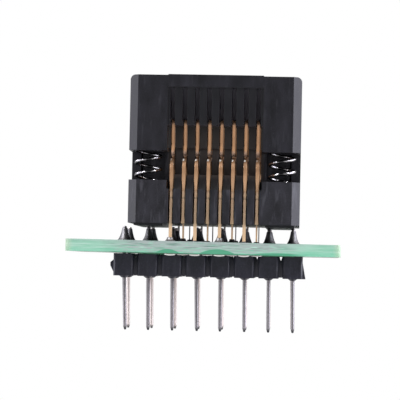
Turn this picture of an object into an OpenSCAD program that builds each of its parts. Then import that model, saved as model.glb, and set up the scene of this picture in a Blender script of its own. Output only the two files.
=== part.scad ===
// Open-top test socket for a 16-lead wide small-outline package, soldered on an
// adapter board that plugs in through two 8-pin headers.
// X runs along the contact rows, Y across them and Z up from the pin tips.
// The origin is under the middle of the board, on the plane of the pin tips.

/* [Board] */
// Length of the board, along the contact rows
board_l = 28.2; // [26:0.1:36]
// Width of the board, across the contact rows
board_w = 23; // [21.5:0.1:30]
// Thickness of the board
board_t = 1.25; // [0.8:0.05:2]
// Radius of the board's corners
board_r = 0.35; // [0.1:0.05:1.5]
// Shift of the headers from the middle of the board
header_shift = 0.34; // [0:0.01:1]

/* [Headers] */
// Distance between neighbouring header pins
pin_pitch = 2.54; // [2.4:0.01:2.6]
// Distance between the two header rows
row_gap = 7.62; // [6:0.01:9]
// Diameter of a header pin
pin_d = 0.36; // [0.32:0.01:0.5]
// Length of a pin below its header
pin_below = 5.68; // [3:0.1:9]
// Height of a header strip
header_h = 2.35; // [1.6:0.05:3]
// Depth of a header strip
header_w = 2.5; // [2:0.05:2.6]
// Width of the thin web between two header segments
web_l = 0.45; // [0.3:0.05:1]
// Depth of the notch in the top of that web
web_drop = 0.55; // [0.2:0.01:1]

/* [Socket body] */
// Length of the socket
body_l = 17.75; // [17.5:0.05:19]
// Width of the socket
body_w = 20; // [19.6:0.1:21.4]
// Cut across each upright corner
corner_cut = 0.85; // [0.3:0.05:1.2]
// Height of the base's end blocks
base_h = 4.45; // [4:0.05:5]
// Height of the base's slotted ribs
rib_h = 3.55; // [3:0.05:4.2]
// Thickness of the base's floor
floor_t = 1; // [0.7:0.05:1.1]
// Room between the board and the base
standoff = 1.92; // [1.2:0.05:3]
// Height of the feet under the base
foot_h = 0.22; // [0.2:0.02:0.6]
// Height of the cover's walls
cover_h = 7.8; // [7.6:0.05:9]
// Travel of the cover
travel = 2.6; // [1.8:0.05:2.8]
// Room left under the cover at the end of its travel
travel_spare = 0.45; // [0.3:0.05:0.8]

/* [Package] */
// Distance between neighbouring package leads
lead_pitch = 1.27; // [1.2:0.01:1.28]
// Length of the package
ic_l = 10.3; // [10:0.05:10.5]
// Width of the package over its leads
ic_span = 10.3; // [10:0.05:10.6]
// Height of the lead ledge above the underside of the base
ledge_h = 4.6; // [4.5:0.05:4.8]
// Length of the well under the package
well_l = 6.4; // [4:0.1:8]
// Width of the well under the package
well_w = 4.6; // [3:0.1:6]
// Depth of the well under the package
well_d = 2; // [0.5:0.1:2.5]

/* [Contacts] */
// Thickness of a contact at its stem
stem_t = 0.36; // [0.2:0.01:0.38]
// Thickness of a contact at its spring loop
loop_t = 0.47; // [0.3:0.01:0.48]
// Thickness of a contact's lever
lever_t = 0.4; // [0.25:0.01:0.46]
// Width of the strip that a contact is cut from
strip_w = 0.55; // [0.4:0.01:0.6]
// Width of the slot that holds a contact in the base
slot_w = 0.5; // [0.44:0.01:0.6]
// Width of the slot that a lever swings in
comb_w = 0.52; // [0.52:0.01:0.6]
// Width of that slot where only the end of a lever reaches
tip_slot_w = 0.46; // [0.46:0.01:0.5]
// Radius of the upper loop, on the middle of the strip
loop_r = 0.9; // [0.8:0.01:1]
// Radius of the lower bend, on the middle of the strip
bend_r = 0.85; // [0.8:0.01:0.9]
// Height of the lower bend above the underside of the base
bend_h = 2.35; // [2.25:0.05:2.6]
// Height of the upper loop above the underside of the base
loop_h = 5.6; // [5.2:0.05:5.75]
// Height of a lever's shoulder above the underside of the base
shoulder_h = 7.6; // [7.2:0.05:8]
// Height of a lever's tip above the underside of the base
tip_h = 10.95; // [10.4:0.05:11]
// Lean of a lever from its arm to its tip
lever_lean = 0.5; // [0.4:0.02:0.6]
// Swing of an arm at the end of the cover's travel, in degrees
swing = 16.7; // [14:0.1:17]
// Distance of the outer row of tails from the middle of the socket
tail_out = 8.89; // [8.75:0.01:8.95]
// Distance of the inner row of tails from the middle of the socket
tail_in = 7.62; // [7.4:0.01:7.8]

/* [Springs] */
// Outer diameter of a cover spring
spring_d = 2.96; // [2.4:0.02:3]
// Diameter of the spring wire
wire_d = 0.3; // [0.2:0.01:0.34]
// Open turns of a spring
spring_turns = 7; // [5:0.5:8]
// Diameter of the post inside a spring
post_d = 1.6; // [1.2:0.05:1.8]

/* [Hidden] */
$fn = 48;
positions = 8;
SIDES = ["front", "rear"];
ENDS = ["left", "right"];

// Small fits
fit = 0.02;
slide_gap = 0.15;
cam_gap = 0.07;
tight_gap = 0.06;

// Heights above the pin tips
board_z = pin_below + header_h;
board_top = board_z + board_t;
base_z = board_top + standoff;
base_top = base_z + base_h;
cover_z = base_top + travel + travel_spare;
cover_top = cover_z + cover_h;
comb_z = base_z + tip_h + fit;
slot_top = cover_top - 1.25;

// The socket sits half a lead pitch to one side, so every other contact is over a header pin
socket_shift = header_shift + lead_pitch / 2;
function lead_x(i) = (i - (positions + 1) / 2) * lead_pitch;
function pin_x(i) = (i - (positions + 1) / 2) * pin_pitch + header_shift;
function is_outer(i) = i % 2 == 1;
function side_sign(side) = side == "front" ? -1 : 1;
function end_sign(end) = end == "left" ? -1 : 1;

// Contact, as distances u from the middle plane of the socket and heights above the pin tips
half_w = strip_w / 2;
arm_u = ic_span / 2 + 0.2;
bend = [arm_u + bend_r, base_z + bend_h];
loop = [bend[0] + bend_r + loop_r, base_z + loop_h];
stem_u = loop[0] + loop_r;
tip_r = 0.33;
tip = [arm_u + lever_lean, base_z + tip_h - tip_r];
tail_w = 0.45;
tail_cut = 0.12;
nose_u = ic_span / 2 - 0.62;
nose_z = base_z + ledge_h + 0.15;

// Ribs between the contacts, and the cover's teeth that come down between them
comb_low = comb_z - 0.8;
tooth_z = comb_z - 3.1;
rib_in = ic_span / 2 + 0.1;
rib_step = bend[0] + 0.4;
rib_top = comb_z - travel - slide_gap;
rib_mid = tooth_z - travel - slide_gap;
tooth_out = rib_step + 0.7;

// Package nest, end columns and the cover's opening
arm_gap = 0.12;
nest_w = arm_u - half_w - arm_gap;
nest_l = ic_l / 2 + 0.15;
window_l = (positions - 1) / 2 * lead_pitch + comb_w / 2 + 0.22;
open_l = nest_l + slide_gap;
open_w = ic_span / 2 + 0.25;
funnel = 0.9;
funnel_h = 1.6;
leg_t = 0.95;
leg_in = body_l / 2 - leg_t;
leg_w = 8.4;
column_x = leg_in - slide_gap;
column_w = 6.8;
column_h = 9;
relief_w = column_w + 2 * slide_gap;
relief_z = cover_top - 1.6;
hook_w = 3.6;
hook_in = 0.5;
hook_h = 0.8;
key_w = 1.2;
key_t = 0.2;
leg_z = base_top - 0.55;
pocket_t = leg_in - hook_in - 0.17;

// Cover springs
pocket_r = spring_d / 2 + 0.12;
spring_x = body_l / 2 - 0.32 - pocket_r;
spring_y = body_w / 2 - 1.2 - pocket_r;
spring_z = base_z + 1.2;
spring_top = cover_z + 3.9;
post_top = base_top - 0.1;

// Board holes and solder
pin_hole_d = pin_d + 0.4;
tail_hole_d = 0.8;
pin_top = base_z - foot_h - tight_gap;
shank_d = pin_d + 0.03;

// Shared shapes

// Lays a drawing of distances and heights on end and gives it a thickness along X
module along_x(t) {
    rotate([90, 0, 90])
        linear_extrude(t, center = true)
            children();
}

// Stands a front-view drawing up and gives it a depth along Y
module along_y(d) {
    rotate([90, 0, 0])
        linear_extrude(d, center = true)
            children();
}

// A box centred on X and Y, from z0 up to z1
module slab(l, w, z0, z1) {
    translate([-l / 2, -w / 2, z0])
        cube([l, w, z1 - z0]);
}

// Puts what was drawn for the rear side on one side of the socket
module on_side(side) {
    mirror([0, side == "front" ? 1 : 0, 0])
        children();
}

// Both sides and both ends of the socket
module each_corner() {
    for (a = [0, 1], b = [0, 1])
        mirror([a, 0, 0])
            mirror([0, b, 0])
                children();
}

module each_end() {
    for (a = [0, 1])
        mirror([a, 0, 0])
            children();
}

// Every contact place on both sides
module each_contact() {
    for (side = SIDES, i = [1 : positions])
        on_side(side)
            translate([lead_x(i), 0, 0])
                children();
}

// Plan of the socket with its corners cut
module body_plan() {
    l = body_l / 2;
    w = body_w / 2;
    c = corner_cut;
    polygon([
        [-l, -w + c], [-l + c, -w], [l - c, -w], [l, -w + c],
        [l, w - c], [l - c, w], [-l + c, w], [-l, w - c]
    ]);
}

// A bent stretch of strip, from one angle to another
module bent_strip(c, r, a0, a1) {
    far = 4 * r;
    steps = 4;
    wedge = [for (k = [0 : steps]) let (a = a0 + (a1 - a0) * k / steps) far * [cos(a), sin(a)]];
    translate(c)
        intersection() {
            difference() {
                circle(r + half_w);
                circle(r - half_w);
            }
            polygon(concat([[0, 0]], wedge));
        }
}

// A front-view outline from pairs of height and thickness, from the bottom up
module outline(steps) {
    n = len(steps) - 1;
    polygon(concat(
        [for (k = [0 : n]) [steps[k][1] / 2, steps[k][0]]],
        [for (k = [n : -1 : 0]) [-steps[k][1] / 2, steps[k][0]]]
    ));
}

// Board

module board() {
    l = board_l / 2 - board_r;
    w = board_w / 2 - board_r;
    color("#7fc3a2")
        difference() {
            union() {
                slab(board_l, 2 * w, board_z, board_top);
                slab(2 * l, board_w, board_z, board_top);
                each_corner()
                    translate([l, w, board_z])
                        cylinder(h = board_t, r = board_r);
            }
            for (s = [-1, 1], i = [1 : positions])
                translate([pin_x(i), s * row_gap / 2, board_z - 1])
                    cylinder(h = board_t + 2, d = pin_hole_d);
            each_tail()
                translate([0, 0, board_z - 1])
                    cylinder(h = board_t + 2, d = tail_hole_d);
        }
}

// Every contact tail's place on the board
module each_tail() {
    for (side = SIDES, i = [1 : positions])
        translate([socket_shift + lead_x(i), side_sign(side) * tail_u(i), 0])
            children();
}

function tail_u(i) = is_outer(i) ? tail_out : tail_in;
function tail_t(i) = is_outer(i) ? lever_t : stem_t / 2;

// Headers

// One segment of a header strip, seen from above
module header_segment_plan() {
    l = (pin_pitch - web_l) / 2;
    w = header_w / 2;
    c = 0.18;
    polygon([
        [-l, -w + c], [-l + c, -w], [l - c, -w], [l, -w + c],
        [l, w - c], [l - c, w], [-l + c, w], [-l, w - c]
    ]);
}

module header(side) {
    collar_h = 0.2;
    web_w = 1.5;
    stub_w = 0.9;
    web_top = board_z - web_drop;
    end_x = (pin_pitch - web_l) / 2;
    first = pin_x(1) - end_x;
    last = pin_x(positions) + end_x;
    color("#26262b")
        translate([0, side_sign(side) * row_gap / 2, 0])
            difference() {
                union() {
                    for (i = [1 : positions])
                        translate([pin_x(i), 0, pin_below]) {
                            linear_extrude(header_h)
                                header_segment_plan();
                            translate([0, 0, -collar_h])
                                cylinder(h = collar_h + 0.1, d1 = pin_d + 0.14, d2 = pin_d + 0.9);
                        }
                    // The web that carries the row, notched between segments, and its broken ends
                    along_y(web_w)
                        difference() {
                            translate([first + 0.2, pin_below + 0.12])
                                square([last - first - 0.4, header_h - 0.12]);
                            for (i = [1 : positions - 1])
                                translate([pin_x(i) + pin_pitch / 2, board_z])
                                    polygon([[0, -web_drop], [web_l / 2, 0.1], [-web_l / 2, 0.1]]);
                        }
                    along_y(stub_w)
                        polygon([
                            [first + 0.1, pin_below + 0.1], [first - 0.38, pin_below + 1.05],
                            [first - 0.38, pin_below + 1.4], [first + 0.1, web_top]
                        ]);
                    along_y(web_w)
                        polygon([
                            [last - 0.1, pin_below], [last + 0.32, pin_below],
                            [last - 0.1, pin_below + header_h - 0.1]
                        ]);
                }
                for (i = [1 : positions])
                    translate([pin_x(i), 0, pin_below - 1])
                        cylinder(h = header_h + 2, d = shank_d + 2 * fit);
            }
}

// A row of round pins with tapered tips, a little thicker from the header up
module pins(side) {
    point_h = 0.35;
    color("#b9b4b2")
        for (i = [1 : positions])
            translate([pin_x(i), side_sign(side) * row_gap / 2, 0]) {
                cylinder(h = point_h, d1 = 0.45 * pin_d, d2 = pin_d);
                translate([0, 0, point_h])
                    cylinder(h = pin_below - point_h, d = pin_d);
                translate([0, 0, pin_below])
                    cylinder(h = pin_top - pin_below, d = shank_d);
            }
}

// Solder

// A fillet that climbs a lead, as half a section from the pad to the lead
// It is a straight cone at a hollow of 0 and a quarter arc at 1
function fillet(lead_r, pad_r, h, hollow) =
    [for (k = [0 : 8]) let (t = k / 8) [
        pad_r - (pad_r - lead_r) * (hollow * sin(90 * t) + (1 - hollow) * t),
        h * (hollow * (1 - cos(90 * t)) + (1 - hollow) * t)
    ]];

// Fills the holes around the header pins and climbs them
module header_solder() {
    pad_r = 0.72;
    climb = 1.4;
    color("#6e6a68")
        for (s = [-1, 1], i = [1 : positions])
            translate([pin_x(i), s * row_gap / 2, 0])
                difference() {
                    union() {
                        translate([0, 0, board_top])
                            rotate_extrude()
                                polygon(concat([[0, 0]], fillet(shank_d / 2 + 0.06, pad_r, climb, 0.55), [[0, climb]]));
                        translate([0, 0, board_z + fit])
                            cylinder(h = board_t, d = pin_hole_d - fit);
                    }
                    translate([0, 0, board_z - 1])
                        cylinder(h = pin_top, d = shank_d + fit);
                }
}

// Fills the holes around the contact tails, with a fillet above and a low dome below
module tail_solder() {
    pad_r = 0.62;
    climb = 0.62;
    dome = 0.2;
    color("#8d8883")
        for (side = SIDES, i = [1 : positions])
            translate([socket_shift + lead_x(i), side_sign(side) * tail_u(i), 0])
                difference() {
                    union() {
                        translate([0, 0, board_top])
                            rotate_extrude()
                                polygon(concat([[0, 0]], fillet(0.34, pad_r, climb, 1), [[0, climb]]));
                        translate([0, 0, board_z - fit])
                            cylinder(h = board_t + 2 * fit, d = tail_hole_d - fit);
                        translate([0, 0, board_z - dome])
                            cylinder(h = dome, r1 = pad_r - 0.25, r2 = pad_r);
                    }
                    translate([0, 0, board_z - tail_cut + 5])
                        cube([tail_t(i) + fit, tail_w + fit, 10], center = true);
                }
}

// Socket base

module socket_base() {
    slot_in = nest_w - fit;
    color("#2c2c31")
        translate([socket_shift, 0, 0])
            union() {
                difference() {
                    union() {
                        translate([0, 0, base_z])
                            linear_extrude(base_h)
                                body_plan();
                        slab(2 * nest_l, 2 * nest_w, base_z, base_z + ledge_h);
                        each_end() {
                            end_column();
                            foot();
                        }
                    }
                    // Slotted ribs stand lower than the end blocks
                    for (side = SIDES)
                        on_side(side)
                            translate([-window_l, nest_w, base_z + rib_h])
                                cube([2 * window_l, body_w, base_h]);
                    each_contact() {
                        translate([-slot_w / 2, slot_in, base_z + floor_t])
                            cube([slot_w, body_w, base_h]);
                        translate([-slot_w / 2, stem_u - half_w - fit, base_z - 1])
                            cube([slot_w, body_w, base_h]);
                    }
                    for (side = SIDES, i = [1 : positions])
                        translate([lead_x(i), side_sign(side) * tail_u(i), base_z])
                            cube([stem_t + 2 * fit, tail_w + 2 * fit, 4], center = true);
                    each_end()
                        leg_channel();
                    each_corner()
                        translate([spring_x, spring_y, spring_z])
                            cylinder(h = base_h, r = pocket_r);
                    // Well under the package
                    slab(well_l, well_w, base_z + ledge_h - well_d, base_z + ledge_h + 1);
                }
                each_corner()
                    translate([spring_x, spring_y, 0])
                        spring_post();
                for (side = SIDES, i = [1 : positions - 1])
                    on_side(side)
                        translate([lead_x(i) + lead_pitch / 2, 0, 0])
                            along_x(lead_pitch - comb_w)
                                rib_side();
                each_corner()
                    corner_guide();
            }
}

// A rib between two contacts, low at the face and higher towards the package
module rib_side() {
    low = base_z + rib_h;
    polygon([
        [rib_in, low - 0.5], [rib_in, rib_top], [rib_step - 0.1, rib_top], [rib_step, rib_mid],
        [loop[0], rib_mid], [stem_u, low], [stem_u, low - 0.5]
    ]);
}

// Post beside the last contact, which guides a corner of the package
module corner_guide() {
    inner = (positions - 1) / 2 * lead_pitch + comb_w / 2 + 0.045;
    z0 = base_z + rib_h - 0.5;
    y0 = nose_u + fit;
    translate([inner, y0, z0])
        cube([nest_l - inner, rib_in - y0, rib_top - z0]);
}

// Column that guides the package at one end, with the pocket for the cover's hook
module end_column() {
    lead_in = 0.8;
    difference() {
        along_y(column_w)
            polygon([
                [nest_l - 0.1, base_z], [column_x, base_z], [column_x, base_z + column_h],
                [nest_l + lead_in, base_z + column_h], [nest_l, base_z + column_h - lead_in],
                [nest_l, base_z + ledge_h], [nest_l - 0.1, base_z + ledge_h]
            ]);
        hook_pocket();
        translate([column_x - key_t - slide_gap, -key_w / 2 - slide_gap, leg_z])
            cube([key_t + slide_gap + 1, key_w + 2 * slide_gap, column_h + base_z]);
    }
}

module hook_pocket() {
    z0 = leg_z - travel - slide_gap;
    translate([pocket_t, -hook_w / 2 - slide_gap, z0])
        cube([body_l, hook_w + 2 * slide_gap, leg_z + hook_h + tight_gap - z0]);
}

// Channel in the end face that the cover's leg slides in
module leg_channel() {
    z0 = leg_z - travel - slide_gap;
    translate([column_x, -leg_w / 2 - slide_gap, z0])
        cube([body_l, leg_w + 2 * slide_gap, base_h + base_z]);
    hook_pocket();
}

module foot() {
    inset = 0.56;
    translate([window_l + 0.4, -0.42 * body_w, base_z - foot_h])
        cube([body_l / 2 - inset - window_l - 0.4, 0.84 * body_w, foot_h]);
}

module spring_post() {
    cone_h = 0.3;
    translate([0, 0, spring_z - 0.2])
        cylinder(h = post_top - spring_z + 0.2 - cone_h, d = post_d);
    translate([0, 0, post_top - cone_h])
        cylinder(h = cone_h, d1 = post_d, d2 = post_d - cone_h);
}

// Cover

// Lever tip at a press s of the cover, as the cover sees it
function tip_turn(s) = swing * s / travel;
function tip_seen(s) =
    let (a = tip_turn(s), d = tip - bend)
    bend + [d[0] * cos(a) + d[1] * sin(a), d[1] * cos(a) - d[0] * sin(a) + s];

cam_run = tip_seen(travel) - tip_seen(0);
cam_out = [-cam_run[1], cam_run[0]] / norm(cam_run) * (tip_r + cam_gap);
cam_end = tip_seen(travel) + cam_out;

// Height in the cover that a lever's shoulder reaches
flare_reach = base_z + shoulder_h + travel + 0.85;

module cover() {
    color("#2e2e33")
        translate([socket_shift, 0, 0])
            difference() {
                union() {
                    cover_frame();
                    for (side = SIDES)
                        on_side(side)
                            translate([-window_l, rib_step + 0.1, tooth_z])
                                cube([2 * window_l, tooth_out - rib_step - 0.1, comb_z - tooth_z + 0.5]);
                    each_end() {
                        hook();
                        key();
                    }
                }
                each_corner()
                    translate([spring_x, spring_y, cover_z - 1])
                        cylinder(h = spring_top - cover_z + 1, r = pocket_r);
                each_contact() {
                    along_x(tip_slot_w)
                        lever_slot();
                    along_x(comb_w)
                        intersection() {
                            lever_slot();
                            translate([0, cover_z - 1])
                                square([body_w, flare_reach - cover_z + 1]);
                        }
                }
                comb_recess();
            }
}

// Frame around the package opening, with its two legs
module cover_frame() {
    difference() {
        union() {
            intersection() {
                translate([0, 0, cover_z])
                    linear_extrude(cover_h)
                        body_plan();
                along_y(body_w + 2)
                    cover_front();
            }
            for (side = SIDES)
                on_side(side)
                    raised_band();
            each_end()
                translate([leg_in, -leg_w / 2, leg_z])
                    cube([leg_t, leg_w, cover_z + 1 - leg_z]);
        }
        package_opening();
        slab(2 * window_l, 2 * rib_step + 0.2, cover_z - 1, comb_z);
        slab(2 * window_l, body_w + 2, cover_z - 1, comb_low);
        slab(2 * leg_in, relief_w, cover_z - 5, relief_z);
    }
}

// Front view of the cover, with its two top corners rounded
module cover_front() {
    r = 0.5;
    l = body_l / 2;
    translate([-l, cover_z - 1])
        square([body_l, cover_h + 1 - r]);
    translate([-l + r, cover_z])
        square([body_l - 2 * r, cover_h]);
    for (s = [-1, 1])
        translate([s * (l - r), cover_top - r])
            circle(r);
}

// The top stands a little higher over each row of slots
module raised_band() {
    rise = 0.08;
    translate([-window_l, open_w + funnel, cover_top - 0.2])
        cube([2 * window_l, body_w / 2 - open_w - funnel, 0.2 + rise]);
}

// Inward hook at the foot of a leg, which holds the cover down against its springs
module hook() {
    along_y(hook_w)
        polygon([
            [leg_in + 0.1, leg_z], [leg_in + 0.1, leg_z + hook_h], [leg_in - hook_in, leg_z + hook_h],
            [leg_in - hook_in, leg_z + hook_h - 0.3], [leg_in, leg_z]
        ]);
}

// Upright key on a leg, which slides in a groove of the base's column
module key() {
    translate([column_x - key_t, -key_w / 2, leg_z + hook_h - 0.1])
        cube([leg_in - column_x + key_t + 0.1, key_w, relief_z - leg_z - hook_h + 0.2]);
}

// Opening that the package drops through, with sloped sides at the top
module package_opening() {
    slab(2 * open_l, 2 * open_w, cover_z - 1, cover_top + 1);
    intersection() {
        along_y(body_w)
            funnel_side(open_l);
        along_x(body_l)
            funnel_side(open_w);
    }
}

module funnel_side(half) {
    top = cover_top + 0.5;
    low = cover_top - funnel_h;
    slope = funnel / funnel_h;
    out = half + funnel + 0.5 * slope;
    polygon([[-half, low], [half, low], [out, top], [-out, top]]);
}

// Slot for one lever: its roof is the cam that swings the lever out
module lever_slot() {
    steps = 8;
    far = body_w / 2 + 1;
    cam = [for (k = [0 : steps]) tip_seen(travel * k / steps) + cam_out];
    rise = slot_top - cam_end[1];
    polygon(concat(
        [[cam[0][0] - 0.05, tooth_z - 1]],
        cam,
        [[cam_end[0] + rise, slot_top], [far, slot_top], [far, tooth_z - 1]]
    ));
}

// The slotted panels stand back a little from the corner panels
module comb_recess() {
    depth = 0.12;
    for (side = SIDES)
        on_side(side)
            translate([-window_l, body_w / 2 - depth, comb_low - 1])
                cube([2 * window_l, 1, slot_top + 0.06 - comb_low + 1]);
}

// Contacts

// Fixed half of one contact: tail, stem, upper loop and the first half of the lower bend
module contact(side, i) {
    color("#b48e6e")
        translate([socket_shift + lead_x(i), 0, 0])
            on_side(side)
                intersection() {
                    along_x(2)
                        contact_side(tail_u(i));
                    along_y(2 * body_w)
                        outline([
                            [board_z - 1, tail_t(i)], [base_z - 2 * fit, tail_t(i)],
                            [base_z - fit, stem_t], [base_z + rib_h + 0.2, stem_t],
                            [base_z + rib_h + 1.2, loop_t], [base_z + loop_h + 3, loop_t]
                        ]);
                }
}

module contact_side(u) {
    split = 2;
    foot_z = base_z + floor_t + fit;
    inner = min(u - tail_w / 2, stem_u - half_w);
    outer = max(u + tail_w / 2, stem_u + half_w);
    translate([u - tail_w / 2, board_z - tail_cut])
        square([tail_w, foot_z - board_z + tail_cut + 0.2]);
    translate([inner, foot_z])
        square([outer - inner, 0.5]);
    translate([stem_u - half_w, base_z + fit])
        square([strip_w, loop[1] - base_z - fit]);
    bent_strip(loop, loop_r, 0, 180);
    translate([loop[0] - loop_r - half_w, bend[1]])
        square([strip_w, loop[1] - bend[1]]);
    bent_strip(bend, bend_r, 270 + split, 360);
}

// Sprung half of one contact: the rest of the lower bend, the arm with its nose, and the lever
module arm(side, i) {
    neck_t = 0.75 * lever_t;
    flare_t = loop_t - 0.01;
    color("#b48e6e")
        translate([socket_shift + lead_x(i), 0, 0])
            on_side(side)
                intersection() {
                    along_x(2)
                        arm_side();
                    along_y(2 * body_w)
                        outline([
                            [base_z, stem_t], [base_z + shoulder_h - 0.65, stem_t],
                            [base_z + shoulder_h - 0.5, neck_t], [base_z + shoulder_h - 0.15, neck_t],
                            [base_z + shoulder_h + 0.05, flare_t], [base_z + shoulder_h + 0.25, flare_t],
                            [base_z + shoulder_h + 0.8, lever_t], [base_z + tip_h + 1, lever_t]
                        ]);
                }
}

module arm_side() {
    shoulder_z = base_z + shoulder_h;
    bent_strip(bend, bend_r, 180, 270);
    polygon([
        [arm_u - half_w, bend[1]], [arm_u + half_w, bend[1]],
        [arm_u + half_w, nose_z + 0.7], [arm_u + 0.12, shoulder_z - 0.3],
        [arm_u + 0.12, shoulder_z], [arm_u + 0.34, shoulder_z + 0.1],
        [tip[0] + tip_r, tip[1]], [tip[0] - tip_r, tip[1]],
        [arm_u - 0.36, shoulder_z], [arm_u - 0.3, nose_z + 1],
        [nose_u, nose_z + 0.45], [nose_u + 0.05, nose_z],
        [nose_u + 0.3, nose_z], [arm_u - half_w, nose_z + 0.3]
    ]);
    translate(tip)
        circle(tip_r);
}

// Springs

// Coil with one closed turn at each end
function coil_rise(t, turns, h) =
    let (shut = wire_d * 1.02, open = (h - wire_d - 2 * shut) / (turns - 2))
    t < 1 ? t * shut : t > turns - 1 ? h - wire_d - (turns - t) * shut : shut + (t - 1) * open;

module spring(side, end) {
    turns = spring_turns + 2;
    per_turn = 14;
    sides = 6;
    n = round(turns * per_turn);
    r = (spring_d - wire_d) / 2;
    low = spring_z + fit;
    h = spring_top - spring_z - 2 * fit;
    ring = [for (k = [0 : n], j = [0 : sides - 1])
        let (a = 360 * k / per_turn, b = 360 * j / sides, d = r + wire_d / 2 * cos(b))
        [d * cos(a), d * sin(a), low + wire_d / 2 + coil_rise(k / per_turn, turns, h) + wire_d / 2 * sin(b)]];
    skin = [for (k = [0 : n - 1], j = [0 : sides - 1])
        let (a = k * sides, m = (j + 1) % sides)
        [a + j, a + m, a + sides + m, a + sides + j]];
    start = [[for (j = [0 : sides - 1]) sides - 1 - j]];
    finish = [[for (j = [0 : sides - 1]) n * sides + j]];
    color("#c9c9cc")
        translate([socket_shift + end_sign(end) * spring_x, side_sign(side) * spring_y, 0])
            polyhedron(ring, concat(start, skin, finish), convexity = 20);
}

board();
header("front");  // header_front
header("rear");  // header_rear
pins("front");  // pins_front
pins("rear");  // pins_rear
header_solder();
tail_solder();
socket_base();
cover();
for (side = SIDES, i = [1 : positions]) {
    contact(side, i);
    arm(side, i);
}
for (side = SIDES, end = ENDS)
    spring(side, end);
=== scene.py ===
"""Looks of an open-top test socket on an adapter board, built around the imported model."""

import math
import random

import bmesh
import bpy
from mathutils import Matrix, Vector, noise


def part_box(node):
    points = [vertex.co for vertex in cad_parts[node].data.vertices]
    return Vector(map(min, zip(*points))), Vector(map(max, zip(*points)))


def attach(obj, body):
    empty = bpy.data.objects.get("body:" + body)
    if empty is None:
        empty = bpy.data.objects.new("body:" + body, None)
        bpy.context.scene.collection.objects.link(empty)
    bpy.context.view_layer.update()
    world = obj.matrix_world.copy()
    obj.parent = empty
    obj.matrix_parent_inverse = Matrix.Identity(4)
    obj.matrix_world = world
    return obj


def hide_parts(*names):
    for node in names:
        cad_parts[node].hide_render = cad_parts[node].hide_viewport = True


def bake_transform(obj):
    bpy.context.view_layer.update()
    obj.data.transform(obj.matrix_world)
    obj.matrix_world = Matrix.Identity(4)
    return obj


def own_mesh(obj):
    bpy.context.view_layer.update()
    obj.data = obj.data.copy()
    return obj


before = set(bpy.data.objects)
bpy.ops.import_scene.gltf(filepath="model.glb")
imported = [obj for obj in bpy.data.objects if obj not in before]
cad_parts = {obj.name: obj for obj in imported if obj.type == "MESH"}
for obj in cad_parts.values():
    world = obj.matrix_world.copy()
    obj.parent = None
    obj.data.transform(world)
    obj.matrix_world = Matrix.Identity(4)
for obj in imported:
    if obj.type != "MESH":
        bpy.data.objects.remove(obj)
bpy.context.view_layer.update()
random.seed(11)

MM = 0.001
SIDES = ("front", "rear")
SIGN = {"front": -1, "rear": 1}
POSITIONS = range(1, 9)


# Places and sizes of the model, in millimetres


def span_of(node):
    """Lowest and highest corner of a solid."""
    low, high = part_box(node)
    return low / MM, high / MM


def middle_of(node):
    """Middle of a solid's box."""
    return sum(span_of(node), Vector()) / 2


board_low, board_high = span_of("board")
pins_low, pins_high = span_of("pins_front")
cover_low, cover_high = span_of("cover")
spring_low, spring_high = span_of("spring_front_left")
BOARD_Z, BOARD_TOP = board_low.z, board_high.z
HEADER_SHIFT = (pins_low.x + pins_high.x) / 2
SOCKET_SHIFT = (cover_low.x + cover_high.x) / 2
PIN_PITCH, LEAD_PITCH = 2.54, 1.27
PIN_ROW = -(pins_low.y + pins_high.y) / 2
PIN_TOP = pins_high.z
PIN_R = (pins_high.y - pins_low.y) / 2
PIN_HOLE_R, PIN_PAD_R = 0.4, 0.88
TAIL_HOLE_R, TAIL_PAD_R = 0.41, 0.66
TAIL_OUT, TAIL_IN = 8.89, 7.62
# Tails with plump solder
PLUMP = (1, 5)
# Height of a thin dark line across each contact, where its sheet is narrowest
DARK_LINE_Z = 13.86


def pin_x(i):
    """Place of pin i along its row."""
    return HEADER_SHIFT + (i - 4.5) * PIN_PITCH


def lead_x(i):
    """Place of contact i along its row."""
    return SOCKET_SHIFT + (i - 4.5) * LEAD_PITCH


def tail_u(i):
    """Distance of tail i from the middle plane, by turns further out and further in."""
    return TAIL_OUT if i % 2 else TAIL_IN


def pin_at(side, i):
    """Place of a pin on the board."""
    return pin_x(i), SIGN[side] * PIN_ROW


def tail_at(side, i):
    """Place of a tail on the board."""
    return lead_x(i), SIGN[side] * tail_u(i)


# Materials


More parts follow.
